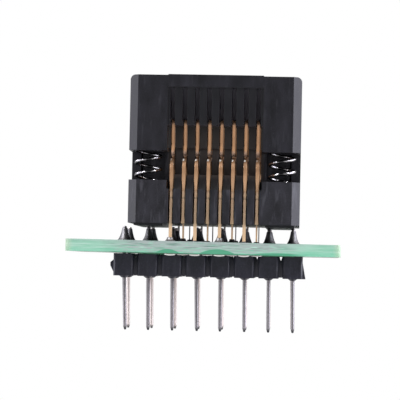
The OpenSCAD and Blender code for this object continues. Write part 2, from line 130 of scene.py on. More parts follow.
class Nodes:
    """Short way to write a material's nodes."""

    def __init__(self, name):
        self.mat = bpy.data.materials.new(name)
        self.mat.use_nodes = True
        self.tree = self.mat.node_tree
        self.shader = self.tree.nodes["Principled BSDF"]
        self.place = self.add("ShaderNodeTexCoord").outputs["Object"]

    def add(self, kind, **inputs):
        """Adds a node and fills its inputs."""
        node = self.tree.nodes.new(kind)
        for key, value in inputs.items():
            self.put(node.inputs[key.replace("_", " ")], value)
        return node

    def put(self, socket, value):
        """Links or writes a value to an input."""
        if isinstance(value, bpy.types.NodeSocket):
            self.tree.links.new(value, socket)
        else:
            socket.default_value = value

    def set(self, **inputs):
        """Fills inputs of the shader."""
        for key, value in inputs.items():
            self.put(self.shader.inputs[key.replace("_", " ")], value)

    def math(self, operation, a, b=0.0, clamp=False):
        """Result of an operation on one or two values."""
        node = self.tree.nodes.new("ShaderNodeMath")
        node.operation = operation
        node.use_clamp = clamp
        self.put(node.inputs[0], a)
        self.put(node.inputs[1], b)
        return node.outputs[0]

    def product(self, first, *others):
        """Product of masks and strengths."""
        for other in others:
            first = self.math("MULTIPLY", first, other)
        return first

    def weighted(self, start, *terms):
        """A number plus masks times weights, held between 0 and 1 at the end."""
        total = start
        for k, (mask, weight) in enumerate(terms, 1):
            total = self.math("ADD", total, self.product(mask, weight), clamp=k == len(terms))
        return total

    def noise(self, scale, detail=2.0, stretch=(1, 1, 1), shift=(0, 0, 0)):
        """Noise over the piece, stretched and moved."""
        where = self.add("ShaderNodeMapping", Vector=self.place, Scale=stretch, Location=shift)
        made = self.add("ShaderNodeTexNoise", Vector=where.outputs[0], Scale=scale, Detail=detail)
        return made.outputs["Fac"]

    def span(self, value, low, high, to_low=0.0, to_high=1.0):
        """Maps a range of a value to another range and holds it there."""
        node = self.add("ShaderNodeMapRange")
        for k, v in enumerate((value, low, high, to_low, to_high)):
            self.put(node.inputs[k], v)
        return node.outputs[0]

    def ramp(self, value, low, high, to_low=0.0, to_high=1.0):
        """As span, with the limits in millimetres."""
        return self.span(value, low * MM, high * MM, to_low, to_high)

    def band(self, value, rise, fall):
        """Rises from 0 to 1 between two limits and falls back between two more, in millimetres."""
        return self.product(self.ramp(value, *rise), self.ramp(value, *fall, 1.0, 0.0))

    def within(self, value, low, high):
        """1 where a coordinate lies between two limits in millimetres, 0 elsewhere."""
        above = self.math("GREATER_THAN", value, low * MM)
        return self.math("MULTIPLY", above, self.math("LESS_THAN", value, high * MM))

    def offset(self, value, middle, half):
        """Distance of a coordinate from a middle, in half widths; both are in millimetres."""
        return self.math("MULTIPLY", self.math("SUBTRACT", value, middle * MM), 1 / (half * MM))

    def mix(self, factor, a, b):
        """Colour a at a factor of 0, b at 1."""
        node = self.tree.nodes.new("ShaderNodeMix")
        node.data_type = "RGBA"
        self.put(node.inputs[0], factor)
        self.put(node.inputs[6], a)
        self.put(node.inputs[7], b)
        return node.outputs[2]

    def layers(self, colour, *layers):
        """Lays colours over one another; each layer is a mask, its strength and its colour."""
        for mask, strength, tone in layers:
            colour = self.mix(self.product(mask, strength), colour, srgb(*tone))
        return colour

    def axes(self):
        """The three coordinates of a point on the piece."""
        parts = self.add("ShaderNodeSeparateXYZ", Vector=self.place).outputs
        return parts["X"], parts["Y"], parts["Z"]

    def bump(self, height, strength, depth_mm):
        """Roughens the surface by a height."""
        node = self.add("ShaderNodeBump", Height=height, Strength=strength, Distance=depth_mm * MM)
        self.set(Normal=node.outputs[0])


def srgb(r, g, b):
    """Linear colour of a picture's red, green and blue."""
    out = []
    for c in (r, g, b):
        c /= 255
        out.append(c / 12.92 if c < 0.04045 else ((c + 0.055) / 1.055) ** 2.4)
    return (*out, 1.0)


# Parts of the socket where light and shade are painted into the colour: half the length along the
# rows, the depths from the middle plane and the heights, in millimetres
COVER_ZONES = {
    "ledge": (5.2, (9.3, 9.93), (25.25, 25.42)),
    "lower_edge": (5.0, (0, 12), (21.3, 21.45)),
    "window": (5.4, (0, 9.3), (17.5, 21.36)),
    "face": (5.0, (9.6, 12), (18.5, 25.33)),
    "slots": (5.0, (5.45, 9.3), (21.45, 24.95)),
    "slot_tops": (5.0, (6.9, 9.3), (24.95, 25.33)),
}
BASE_ZONES = {"ribs": (5.0, (3.5, 9.2), (14.4, 22))}


def masks_of(m, zones):
    """For each zone, 1 inside it and 0 elsewhere."""
    x, y, z = m.axes()
    depth = m.math("ABSOLUTE", y)
    masks = {}
    for name, (half, depths, heights) in zones.items():
        along_row = m.within(x, SOCKET_SHIFT - half, SOCKET_SHIFT + half)
        masks[name] = m.product(along_row, m.within(depth, *depths), m.within(z, *heights))
    return masks


def comb_painted_light_and_shade(m, colour):
    """Colour of the cover: painted shade on the comb's face; painted light, brown in the window
    below and lighter on the ledge, the lower edge and in the slots.
    """
    mask = masks_of(m, COVER_ZONES)
    # Painted light on the ledge, the lower edge, the window and in the slots, and painted shade on
    # the comb's face; the lower edge is also made less glossy
    m.set(Specular_IOR_Level=m.span(mask["lower_edge"], 0, 1, 0.3, 0.12))
    return m.layers(
        colour,
        (mask["ledge"], 0.6, (104, 102, 110)),
        (mask["lower_edge"], 0.8, (88, 85, 90)),
        (mask["window"], 0.7, (49, 42, 36)),
        (mask["face"], 0.75, (14, 14, 18)),
        (mask["slots"], 0.8, (136, 133, 143)),
        (mask["slot_tops"], 0.8, (136, 133, 143)),
    )


def rib_painted_light_and_shade(m, colour):
    """Colour of the base: painted light and shade on the ribs between the contacts, brown above and
    darker brown at their feet.
    """
    ribs = masks_of(m, BASE_ZONES)["ribs"]
    brown = m.mix(m.ramp(m.axes()[2], 15.8, 16.2), srgb(17, 14, 12), srgb(56, 46, 38))
    return m.mix(m.product(ribs, 0.65), colour, brown)


def plastic(name, dark, light, rough, grain=9000, specular=0.3, shade=None, scuff=0.1):
    """Moulded plastic: soft mottling, faint upright rub marks, a fine grain and uneven gloss; a
    given function lays painted light and shade over it.
    """
    m = Nodes(name)
    flow = m.noise(800, 4, stretch=(1, 1, 0.45))
    fine = m.noise(grain, 2)
    speck = m.span(m.noise(5200, 1, shift=(0.3, 0.1, 0)), 0.66, 0.74)
    rub = m.span(m.noise(2400, 3, stretch=(1, 1, 0.16), shift=(0, 0, 0.3)), 0.56, 0.72)
    tone = m.math("ADD", m.product(flow, 0.65), m.product(fine, 0.35))
    lighter = tuple(min(255, c + 26) for c in light)
    colour = m.mix(m.span(tone, 0.36, 0.64), srgb(*dark), srgb(*light))
    colour = m.layers(colour, (speck, 0.3, lighter), (rub, scuff, (104, 103, 112)))
    m.set(Specular_IOR_Level=specular)
    m.set(Base_Color=shade(m, colour) if shade else colour)
    m.set(Roughness=m.span(tone, 0.25, 0.75, rough - 0.07, rough + 0.09))
    m.bump(m.math("ADD", fine, m.product(flow, 0.8)), 0.3, 0.012)
    return m.mat


def painted_loop_glint(m, x, y, z, across_lead):
    """A painted highlight on top of every loop, faint on the first and the last."""
    across = m.offset(across_lead, 0.52, 0.15)
    upward = m.offset(z, 17.82, 0.14)
    away = m.math("ADD", m.product(across, across), m.product(upward, upward))
    on_loop = m.within(m.math("ABSOLUTE", y), 7.95, 9.2)
    inner = m.within(x, lead_x(1) + 0.6, lead_x(8) - 0.6)
    return m.product(m.span(away, 0.5, 1.0, 1.0, 0.0), on_loop, m.span(inner, 0, 1, 0.3, 1.0))


def plated_with_painted_light(m, colour):
    """A contact: gold, with painted light below the dark line, on the limb, the knee and the lever,
    a painted highlight on each loop and painted shade on the neck, the lever's top and its right
    side; tin on the tails under the board, and painted light on the rear tails above the board.
    """
    x, y, z = m.axes()
    row_start = (lead_x(1) - LEAD_PITCH / 2) * MM
    across_lead = m.math("MODULO", m.math("SUBTRACT", x, row_start), LEAD_PITCH * MM)
    # Painted light on the stem below the base's top, on the limb, the knee and the lever, and
    # painted shade on the neck
    below = m.ramp(z, 14.35, 14.65, 1.0, 0.0)
    limb = m.band(z, (14.0, 14.4), (15.4, 16.8))
    neck = m.band(z, (17.95, 18.1), (18.2, 18.34))
    knee = m.band(z, (18.26, 18.38), (18.66, 19.0))
    lever = m.ramp(z, 17.9, 18.4)
    # Painted shade on the lever's right side
    shaded_side = m.product(lever, m.ramp(across_lead, 0.6, 0.76))
    # A painted highlight on each loop
    spot = painted_loop_glint(m, x, y, z, across_lead)
    # Tin on the tails under the board; the rear tails above the board are painted pale, as painted
    # light
    rear_tail = m.product(m.within(z, 0, 11.15), m.math("GREATER_THAN", y, 0.0))
    tin_and_painted_pale = m.math("MAXIMUM", rear_tail, m.math("LESS_THAN", z, BOARD_Z * MM))
    from_line = m.math("ABSOLUTE", m.math("SUBTRACT", z, DARK_LINE_Z * MM))

    m.set(Metallic=m.weighted(
        0.72,
        (lever, 0.24),
        (below, -0.72),
        (limb, -0.2),
        (knee, -0.5),
        (m.ramp(z, 21.6, 21.95), -0.6),
        (m.math("MAXIMUM", spot, tin_and_painted_pale), -0.7),
    ))
    m.set(Roughness=m.math("ADD", m.span(lever, 0, 1, 0.46, 0.26), m.product(m.noise(900, 2), 0.1)))
    return m.layers(
        colour,
        (limb, 0.4, (240, 196, 154)),
        (below, 0.95, (255, 216, 176)),
        (lever, 0.85, (224, 168, 122)),
        (spot, 1.0, (255, 248, 238)),
        (neck, 0.6, (104, 62, 44)),
        (knee, 0.6, (248, 214, 194)),
        # Painted shade at the lever's top, where it goes into its slot
        (m.ramp(z, 21.2, 21.9), 0.45, (130, 114, 102)),
        (shaded_side, 0.7, (112, 76, 52)),
        (tin_and_painted_pale, 0.9, (238, 234, 230)),
        (m.ramp(from_line, 0.05, 0.13, 1.0, 0.0), 0.3, (60, 42, 32)),
    )


def pointed(m, colour):
    """Colour of a pin: dark at its point."""
    return m.layers(colour, (m.ramp(m.axes()[2], 0.16, 0.44, 1.0, 0.0), 0.85, (50, 54, 60)))


def painted_wire_glints(m, colour):
    """Colour of spring wire: painted reflections, light towards its sides and dark where it runs
    across the middle.
    """
    left, right = middle_of("spring_front_left").x, middle_of("spring_front_right").x
    r = (spring_high.x - spring_low.x) / 2
    out = m.math("ABSOLUTE", m.math("SUBTRACT", m.axes()[0], (left + right) / 2 * MM))
    inward = m.math("SUBTRACT", (right - left) / 2 * MM, out)
    # Painted dark reflection where the wire runs across the middle
    dark = m.band(inward, (-0.2 * r, -0.06 * r), (0.2 * r, 0.34 * r))
    return m.layers(colour, (dark, 0.9, (34, 33, 36)))


def metal(name, dark, light, rough, tint, stretch=(1, 1, 0.06), scale=5200, marks_and_painted_light=None,
          streaks=0.2, metallic=1.0, coat=0.0):
    """Metal with fine drawn streaks along its length; a given function may add marks and painted
    light.
    """
    m = Nodes(name)
    streak = m.noise(scale, 3, stretch=stretch)
    cloud = m.noise(700, 2)
    tone = m.math("ADD", m.product(streak, 0.55), m.product(cloud, 0.45))
    colour = m.mix(m.span(tone, 0.32, 0.68), srgb(*dark), srgb(*light))
    m.set(Metallic=metallic, Specular_Tint=srgb(*tint))
    m.set(Roughness=m.span(tone, 0.3, 0.7, rough - 0.06, rough + 0.08))
    m.set(Base_Color=marks_and_painted_light(m, colour) if marks_and_painted_light else colour)
    if coat:
        m.set(Coat_Weight=coat, Coat_Roughness=0.12)
    m.bump(streak, streaks, 0.006)
    return m.mat


def solder_metal():
    """Solder: grey, a little lumpy, brown flux towards the board, painted light on the plump mounds
    and a painted white reflection under the board.
    """
    m = Nodes("solder")
    lump = m.noise(2600, 3)
    cloud = m.noise(900, 2, shift=(0.2, 0.4, 0.1))
    x, y, z = m.axes()
    low = m.ramp(z, BOARD_TOP + 0.02, BOARD_TOP + 0.55, 1.0, 0.0)
    flux = m.product(low, m.span(cloud, 0.35, 0.6, 0.1, 0.45))
    # Painted light on the plump mounds
    mound = m.math("MAXIMUM", *(m.within(x, lead_x(i) - 0.65, lead_x(i) + 0.65) for i in PLUMP))
    mound = m.product(mound, m.math("GREATER_THAN", m.math("ABSOLUTE", y), 7.0 * MM))
    # Painted white reflection on the drops under the board
    under = m.math("LESS_THAN", z, BOARD_Z * MM)
    grey = m.mix(m.span(cloud, 0.35, 0.65), srgb(80, 81, 84), srgb(126, 125, 127))
    m.set(Base_Color=m.layers(
        grey,
        (flux, 1.0, (58, 50, 44)),
        (mound, 0.6, (166, 164, 162)),
        (under, 1.0, (250, 249, 247)),
    ))
    m.set(Metallic=1.0, Specular_Tint=srgb(120, 118, 118))
    m.set(Roughness=m.span(lump, 0.3, 0.7, 0.42, 0.56))
    m.bump(lump, 0.2, 0.014)
    return m.mat


# Low domes in the darker green band along the board's lower edge: middle, half length, and rise as
# a share of the board's thickness
EDGE_DOMES = ((-3.6, 1.2, 0.3), (1.5, 1.8, 0.36), (7.6, 2.6, 0.13))


def board_edge(m, x, h, fibre, thread, cloud):
    """Colour of the board's cut edge; h runs from its bottom face (0) to its top face (1)."""
    reach = m.math("ABSOLUTE", m.offset(x, 0, 9.5))
    middle = m.span(reach, 0.72, 1.12, 1.0, 0.0)
    # Whitish fibres where the edge was snapped, with grey dashes between them
    torn = m.span(m.math("ADD", thread, m.product(h, 0.16)), 0.44, 0.6)
    dash = m.span(m.noise(1500, 3, stretch=(0.3, 0.3, 7), shift=(0.1, 0, 0)), 0.54, 0.62)
    seam = m.span(m.noise(1300, 2, stretch=(0.07, 0.07, 6), shift=(0, 0.2, 0)), 0.58, 0.64)
    # Darker green band along the lower edge, fading out towards the ends
    line = m.product(m.math("SUBTRACT", cloud, 0.5), 0.5)
    for centre, half, rise in EDGE_DOMES:
        far = m.offset(x, centre, half)
        dome = m.math("SUBTRACT", 1.0, m.product(far, far), clamp=True)
        line = m.math("MAXIMUM", line, m.product(dome, rise))
    band = m.span(m.math("SUBTRACT", m.math("ADD", line, 0.1), h), -0.03, 0.03)
    pale = m.mix(m.span(fibre, 0.35, 0.65), srgb(138, 209, 176), srgb(188, 226, 208))
    return m.layers(
        pale,
        (m.span(h, 0.08, 0.5, 1.0, 0.0), 0.6, (124, 216, 178)),
        (m.span(h, 0.7, 0.95), 0.45, (160, 198, 180)),
        (m.product(middle, torn), 0.92, (176, 187, 184)),
        (m.product(middle, dash, m.span(h, 0.3, 0.6, 0.25, 1.0)), 0.85, (98, 136, 122)),
        (m.product(seam, m.span(middle, 0, 1, 0.5, 0.2)), 1.0, (104, 186, 148)),
        (m.product(band, m.span(reach, 0.95, 1.15, 1.0, 0.0)), 0.92, (74, 166, 126)),
        # Cream ends
        (m.ramp(m.math("ABSOLUTE", x), 13.3, 14.1), 0.5, (222, 228, 190)),
    )


def board_laminate():
    """Green mask on both faces; on the cut edges pale glass-fibre layers with a broken middle."""
    m = Nodes("board_laminate")
    x, _, z = m.axes()
    normal = m.add("ShaderNodeNewGeometry").outputs["True Normal"]
    up = m.math("ABSOLUTE", m.add("ShaderNodeSeparateXYZ", Vector=normal).outputs["Z"])
    face = m.math("GREATER_THAN", up, 0.7)
    fibre = m.noise(900, 4, stretch=(0.35, 0.35, 6))
    thread = m.noise(2100, 3, stretch=(0.5, 0.5, 5), shift=(0, 0, 0.02))
    cloud = m.noise(260, 2)
    edge = board_edge(m, x, m.ramp(z, BOARD_Z, BOARD_TOP), fibre, thread, cloud)
    weave = m.add("ShaderNodeTexWave", Vector=m.place, Scale=520.0, Distortion=0.6).outputs["Fac"]
    tone = m.span(m.math("ADD", cloud, m.product(weave, 0.1)), 0.35, 0.75)
    mask = m.mix(tone, srgb(20, 84, 54), srgb(34, 108, 70))
    m.set(Base_Color=m.mix(face, edge, mask))
    m.set(Roughness=m.span(face, 0, 1, 0.62, 0.3))
    m.set(Specular_IOR_Level=0.4)
    m.bump(m.mix(face, m.math("ADD", fibre, thread), m.product(weave, 0.15)), 0.5, 0.03)
    return m.mat


def ink(name, dark, light, rough, specular=0.4):
    """A thin printed or masked layer."""
    m = Nodes(name)
    tone = m.noise(2400, 3)
    m.set(Base_Color=m.mix(m.span(tone, 0.3, 0.7), srgb(*dark), srgb(*light)))
    m.set(Roughness=m.span(tone, 0.3, 0.7, rough - 0.05, rough + 0.08), Specular_IOR_Level=specular)
    m.bump(tone, 0.2, 0.008)
    return m.mat


COVER = plastic("cover_plastic", (15, 15, 20), (33, 32, 40), 0.42, shade=comb_painted_light_and_shade)
BASE = plastic("base_plastic", (20, 20, 24), (46, 45, 53), 0.42, shade=rib_painted_light_and_shade, scuff=0.3)
HEADER = plastic("header_plastic", (31, 31, 41), (51, 50, 64), 0.36, grain=7000, specular=0.35)
GOLD = metal("contact_gold", (150, 114, 84), (186, 145, 110), 0.5, (150, 104, 74), marks_and_painted_light=plated_with_painted_light,
             metallic=0.72, coat=0.6)
# The front pins' tin is painted darker, as painted shade, and the rear pins' tin paler, as painted
# light
TIN_SHADED_AND_LIT = {
    "front": metal("pin_tin_painted_shade", (130, 127, 130), (148, 144, 147), 0.36, (70, 68, 68),
                   scale=1800, marks_and_painted_light=pointed, streaks=0.06),
    "rear": metal("pin_tin_painted_light", (208, 198, 195), (222, 212, 208), 0.55, (190, 180, 176),
                  scale=1800, marks_and_painted_light=pointed, streaks=0.06),
}
STEEL = metal("spring_steel", (148, 146, 149), (178, 176, 178), 0.17, (128, 128, 130),
              stretch=(1, 1, 1), scale=2600, marks_and_painted_light=painted_wire_glints)
SOLDER = solder_metal()
BOARD = board_laminate()
PAD = metal("pad_tin", (170, 168, 162), (208, 205, 198), 0.3, (150, 148, 144),
            stretch=(1, 1, 1), scale=1800)
TRACK = ink("track_mask", (48, 140, 92), (66, 160, 110), 0.28)
WHITE_INK = ink("white_ink", (214, 216, 212), (236, 237, 233), 0.6, 0.2)


# Mesh helpers; meshes are made in millimetres

# Rise of the warped left end of the board, where it starts and how long it takes
BOW, BOW_FROM, BOW_LENGTH = 0.12, -4.5, 5.0
# Sides of a turned shape
ROUND = 28


def bow(x):
    """How far the board's left end has warped upward."""
    t = min(1.0, max(0.0, (BOW_FROM - x) / BOW_LENGTH))
    return BOW * t * t * (3 - 2 * t)


def piece(name, bm, material, body, replaces=(), weighted=False, angle=35, bowed=False):
    """Turns a bmesh into a piece that rides on a body, with sharp edges above an angle."""
    if bowed:
        for v in bm.verts:
            v.co.z += bow(v.co.x)
    bmesh.ops.recalc_face_normals(bm, faces=bm.faces)
    mesh = bpy.data.meshes.new(name)
    for f in bm.faces:
        f.smooth = True
    limit = math.radians(angle)
    for e in bm.edges:
        e.smooth = len(e.link_faces) == 2 and e.calc_face_angle(0) < limit
    bm.to_mesh(mesh)
    bm.free()
    mesh.transform(Matrix.Scale(MM, 4))
    mesh.materials.append(material)
    obj = bpy.data.objects.new(name, mesh)
    bpy.context.scene.collection.objects.link(obj)
    if weighted:
        obj.modifiers.new("normals", "WEIGHTED_NORMAL").keep_sharp = True
    if body:
        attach(obj, body)
    if replaces:
        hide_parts(*replaces)
    return obj


def rounded(bm, edges, width, slide):
    """Rounds edges by a width."""
    bmesh.ops.bevel(bm, geom=edges, offset=width, offset_type="OFFSET", segments=2, profile=0.5,
                    affect="EDGES", clamp_overlap=True, loop_slide=slide)


def softened(node, name, material, body, width, bowed=False):
    """A copy of a solid with its hard edges rounded, as moulded or cut pieces have them."""
    bm = bmesh.new()
    bm.from_mesh(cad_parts[node].data)
    bmesh.ops.scale(bm, vec=(1 / MM,) * 3, verts=bm.verts)
    bmesh.ops.remove_doubles(bm, verts=bm.verts, dist=1e-4)
    bmesh.ops.dissolve_limit(bm, angle_limit=math.radians(1.0), verts=bm.verts, edges=bm.edges)
    hard = math.radians(28)
    edges = [e for e in bm.edges if len(e.link_faces) == 2 and e.calc_face_angle(0) > hard]
    rounded(bm, edges, width, slide=True)
    return piece(name, bm, material, body, [node], weighted=True, angle=50, bowed=bowed)


def skin(bm, low, high):
    """Faces between two closed loops of as many points."""
    for k in range(len(low)):
        m = (k + 1) % len(low)
        bm.faces.new((low[k], low[m], high[m], high[k]))


def tube(bm, loops):
    """Faces along a row of loops, with both ends closed."""
    for low, high in zip(loops, loops[1:]):
        skin(bm, low, high)
    bm.faces.new(loops[0][::-1])
    bm.faces.new(loops[-1])


def lathe(bm, profile, at, wobble=0.0, seed=0.0):
    """Adds a turned shape: profile holds (radius, height) from the bottom up."""
    loops = []
    for r, z in profile:
        loop = []
        for k in range(ROUND):
            a = 2 * math.pi * k / ROUND
            where = Vector((math.cos(a) * 0.9 + seed, math.sin(a) * 0.9, z * 1.3 + seed))
            q = r * (1 + wobble * noise.noise(where))
            loop.append(bm.verts.new((at[0] + q * math.cos(a), at[1] + q * math.sin(a), z)))
        loops.append(loop)
    tube(bm, loops)


# Plastics and board

softened("cover", "cover_moulding", COVER, "cover", 0.035)
softened("socket_base", "base_moulding", BASE, "base", 0.05)
for side in SIDES:
    softened(f"header_{side}", f"header_strip_{side}", HEADER, "base", 0.05)
softened("board", "board_panel", BOARD, "base", 0.03, bowed=True)


# Pins and solder

# Share of the radius and height, from the point up
PIN_PROFILE = (
    (0.4, 0.0), (0.5, 0.012), (0.76, 0.2), (0.944, 0.33), (0.988, 0.39), (1.0, 0.47), (1.0, 5.6),
    (1.0, 5.68), (1.0, PIN_TOP - 0.09), (0.9, PIN_TOP - 0.03), (0.72, PIN_TOP),
)
# Sideways place and lean of the pins below their strip, from the left; none stands quite true
PIN_OFF = {"front": 0.03, "rear": -0.05}
PIN_LEAN = {
    "front": (0.038, 0.018, 0.017, 0.028, 0.011, 0.014, 0.009, 0.014),
    "rear": (0.018,) * 8,
}
PIN_EXIT = 5.64

for side in SIDES:
    bm = bmesh.new()
    for i in POSITIONS:
        made = len(bm.verts)
        lathe(bm, [(r * PIN_R, z) for r, z in PIN_PROFILE], pin_at(side, i))
        for v in list(bm.verts)[made:]:
            if v.co.z < PIN_EXIT:
                v.co.x += PIN_OFF[side] + PIN_LEAN[side][i - 1] * (PIN_EXIT - v.co.z)
    piece(f"pin_row_{side}", bm, TIN_SHADED_AND_LIT[side], "base", [f"pins_{side}"], angle=60)


def fillet(lead_r, pad_r, z0, climb, hollow=1.0, curve=1.0, steps=12):
    """Profile from the pad up to the lead: a cone at a hollow of 0, an arc at 1.

    A higher curve makes it plumper.
    """
    out = []
    for k in range(steps + 1):
        t = k / steps
        a = math.pi / 2 * t
        inward = hollow * math.sin(a) ** curve + (1 - hollow) * t
        upward = hollow * (1 - math.cos(a)) + (1 - hollow) * t
        out.append((pad_r - (pad_r - lead_r) * inward, z0 + climb * upward))
    return out


bm = bmesh.new()
for side in SIDES:
    for i in POSITIONS:
        seed = random.uniform(0, 50)
        climb = random.uniform(1.16, 1.36)
        foot_r = random.uniform(0.68, 0.74)
        cone = fillet(PIN_R + 0.075, foot_r, BOARD_TOP + 0.045, climb, random.uniform(0.4, 0.65))
        top = cone[-1][1]
        crown = [(PIN_R + 0.06, top + 0.03), (PIN_R + 0.03, top + 0.05)]
        root = [(0.36, BOARD_TOP - 0.3), (cone[0][0], BOARD_TOP + 0.02)]
        lathe(bm, root + cone + crown, pin_at(side, i), wobble=0.05, seed=seed)
piece("pin_solder", bm, SOLDER, "base", ["header_solder"], angle=70, bowed=True)


def tail_climb(i):
    """Lowest and highest climb of the solder on tail i."""
    if i in PLUMP:
        return 0.42, 0.46
    return (0.34, 0.38) if i % 4 == 2 else (0.1, 0.15)


def underside(depth, steps=6):
    """Profile of the drop of solder under the board."""
    out = []
    for k in range(steps + 1):
        a = math.pi / 2 * (1 - k / steps)
        out.append((max(0.03, 0.6 * math.cos(a)), BOARD_Z - 0.02 - depth * math.sin(a)))
    return out


bm = bmesh.new()
for side in SIDES:
    for i in POSITIONS:
        outer, plump = i % 2, i in PLUMP
        seed = random.uniform(0, 50)
        lead_r = 0.32 if outer else 0.26
        climb = random.uniform(*tail_climb(i))
        mound = fillet(lead_r, 0.62, BOARD_TOP + 0.03, climb, 1.0 if plump else 0.8,
                       curve=2.2 if plump else 1.0)
        top = mound[-1][1]
        crown = [(lead_r - 0.01, top + 0.02), (lead_r - 0.06, top + 0.04)]
        barrel = [(0.39, BOARD_Z + 0.05), (0.39, BOARD_TOP - 0.05)]
        drop = underside(0.14 if outer else 0.07)
        lathe(bm, drop + barrel + mound + crown, tail_at(side, i), wobble=0.06, seed=seed)
piece("lead_solder", bm, SOLDER, "base", ["tail_solder"], angle=70)


# Pads, tracks and marks on the board

PAD_T = 0.04
MARK_LOW, MARK_HIGH = BOARD_TOP + 0.001, BOARD_TOP + 0.016


def ring(bm, at, inner, outer, z0, z1):
    """A flat washer between two heights."""
    turns = [2 * math.pi * k / ROUND for k in range(ROUND)]
    loops = []
    for r, z in ((inner, z0), (outer, z0), (outer, z1), (inner, z1)):
        loops.append([bm.verts.new((at[0] + r * math.cos(a), at[1] + r * math.sin(a), z))
                      for a in turns])
    for a, b in zip(loops, loops[1:] + loops[:1]):
        skin(bm, a, b)


bm = bmesh.new()
for side in SIDES:
    for i in POSITIONS:
        for z0, z1 in ((BOARD_TOP, BOARD_TOP + PAD_T), (BOARD_Z - PAD_T, BOARD_Z)):
            ring(bm, tail_at(side, i), TAIL_HOLE_R, TAIL_PAD_R, z0, z1)
        ring(bm, pin_at(side, i), PIN_HOLE_R, PIN_PAD_R, BOARD_TOP, BOARD_TOP + PAD_T)
piece("pads", bm, PAD, "base", angle=40, bowed=True)


def strip(bm, points, width, z0, z1):
    """A flat track along points, with mitred corners and slightly sloped sides."""
    pts = [Vector(p) for p in points]
    loops = []
    for k, p in enumerate(pts):
        before = (p - pts[k - 1]).normalized() if k else (pts[1] - p).normalized()
        after = (pts[k + 1] - p).normalized() if k + 1 < len(pts) else before
        across = Vector((-(before + after).y, (before + after).x)).normalized()
        reach = width / 2 / max(0.4, across.dot(Vector((-before.y, before.x))))
        section = ((-1, z0), (-0.86, z1), (0.86, z1), (1, z0))
        edges = [(p + across * s * reach, z) for s, z in section]
        loops.append([bm.verts.new((q.x, q.y, z)) for q, z in edges])
    tube(bm, loops)


# Distance from the middle plane at which each track runs along the board; track 5 runs straight
TRACK_U = {1: 6.85, 2: 6.45, 3: 6.05, 4: 5.65, 6: 6.05, 7: 6.45, 8: 6.85}
TRACK_CUT = 0.3


def track_path(i):
    """Corners of the track from tail i to pin i, on the positive side."""
    x0, x1 = lead_x(i), pin_x(i)
    start, end = (x0, tail_u(i)), (x1, PIN_ROW)
    if i not in TRACK_U:
        return [start, end]
    u = TRACK_U[i]
    cut = TRACK_CUT if x1 > x0 else -TRACK_CUT
    return [start, (x0, u + TRACK_CUT), (x0 + cut, u), (x1 - cut, u), (x1, u - TRACK_CUT), end]


bm = bmesh.new()
for side in SIDES:
    for i in POSITIONS:
        corners = [(x, SIGN[side] * u) for x, u in track_path(i)]
        strip(bm, corners, 0.28, BOARD_Z - 0.002, BOARD_Z - 0.035)
piece("tracks", bm, TRACK, "base", angle=20, bowed=True)

# A plain outline round the socket, with cut corners, and a dot beside it
bm = bmesh.new()
half_l, half_w, cut = 9.35, 10.5, 0.9
l, w = half_l - cut, half_w - cut
corners = ((l, -half_w), (half_l, -w), (half_l, w), (l, half_w),
           (-l, half_w), (-half_l, w), (-half_l, -w), (-l, -half_w))
loop = [(SOCKET_SHIFT + x, y) for x, y in corners]
for a, b in zip(loop, loop[1:] + loop[:1]):
    strip(bm, [a, b], 0.16, MARK_LOW, MARK_HIGH)
ring(bm, (-10.6, -7.6), 0.02, 0.42, MARK_LOW, MARK_HIGH)
piece("outline_mark", bm, WHITE_INK, "base", angle=20, bowed=True)


# Springs

SPRING_LOW, SPRING_H = spring_low.z, spring_high.z - spring_low.z
WIRE_R = 0.15
SPRING_R = (spring_high.x - spring_low.x) / 2 - WIRE_R
TURNS, TRAVEL = 9, 2.6
TURN_STEPS, WIRE_SIDES = 36, 12


def coil_rise(t):
    """Height of the wire after t turns: the first and the last turn lie closed."""
    shut = 2 * WIRE_R * 1.02
    gap = (SPRING_H - 2 * WIRE_R - 2 * shut) / (TURNS - 2)
    if t < 1:
        return t * shut
    if t > TURNS - 1:
        return SPRING_H - 2 * WIRE_R - (TURNS - t) * shut
    return shut + (t - 1) * gap


def coil(name, at, node):
    """One spring."""
    bm = bmesh.new()
    loops = []
    for k in range(TURNS * TURN_STEPS + 1):
        a = 2 * math.pi * k / TURN_STEPS
        z = SPRING_LOW + WIRE_R + coil_rise(k / TURN_STEPS)
        loop = []
        for j in range(WIRE_SIDES):
            b = 2 * math.pi * j / WIRE_SIDES
            d = SPRING_R + WIRE_R * math.cos(b)
            loop.append(bm.verts.new((at[0] + d * math.cos(a), at[1] + d * math.sin(a),
                                      z + WIRE_R * math.sin(b))))
        loops.append(loop)
    tube(bm, loops)
    obj = piece(name, bm, STEEL, "base", [node], angle=60)
    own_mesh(obj)


for side in SIDES:
    for end in ("left", "right"):
        node = f"spring_{side}_{end}"
        coil(f"coil_{side}_{end}", middle_of(node), node)


# Contacts: one folded strip each, from its tail to its lever. Points are written as distance from
# the middle plane and height.

STEM_U, HALF = 8.85, 0.275
STEM_OUT, STEM_IN = STEM_U + HALF, STEM_U - HALF
TAIL_HALF, TAIL_TOP = 0.225, 11.16
# Points at the foot of a stem whose tail stands further in: right edge, left edge
FOOT = (
    ((8.575, 12.22), (7.395, 12.6)),
    ((9.125, 12.22), (7.5, 12.72)),
    ((9.125, 12.55), (8.47, 12.72)),
    ((9.125, 12.95), (8.575, 12.83)),
)
FOOT_END = ((8.575, 11.22), (9.125, 11.22))
STEM_Z = (13.4, 13.72, 13.86, 14.0, 15.1, 15.5, 15.8, 16.1)
LOOP, LOOP_R = Vector((7.95, 16.8)), 0.9
BEND, BEND_R = Vector((6.2, 13.55)), 0.85
ARM_TOP = ((5.625, 16.25), (5.075, 16.25))
NOSE = ((4.56, 16.46), (4.53, 16.4), (4.54, 16.0), (4.6, 15.95), (4.83, 15.95))
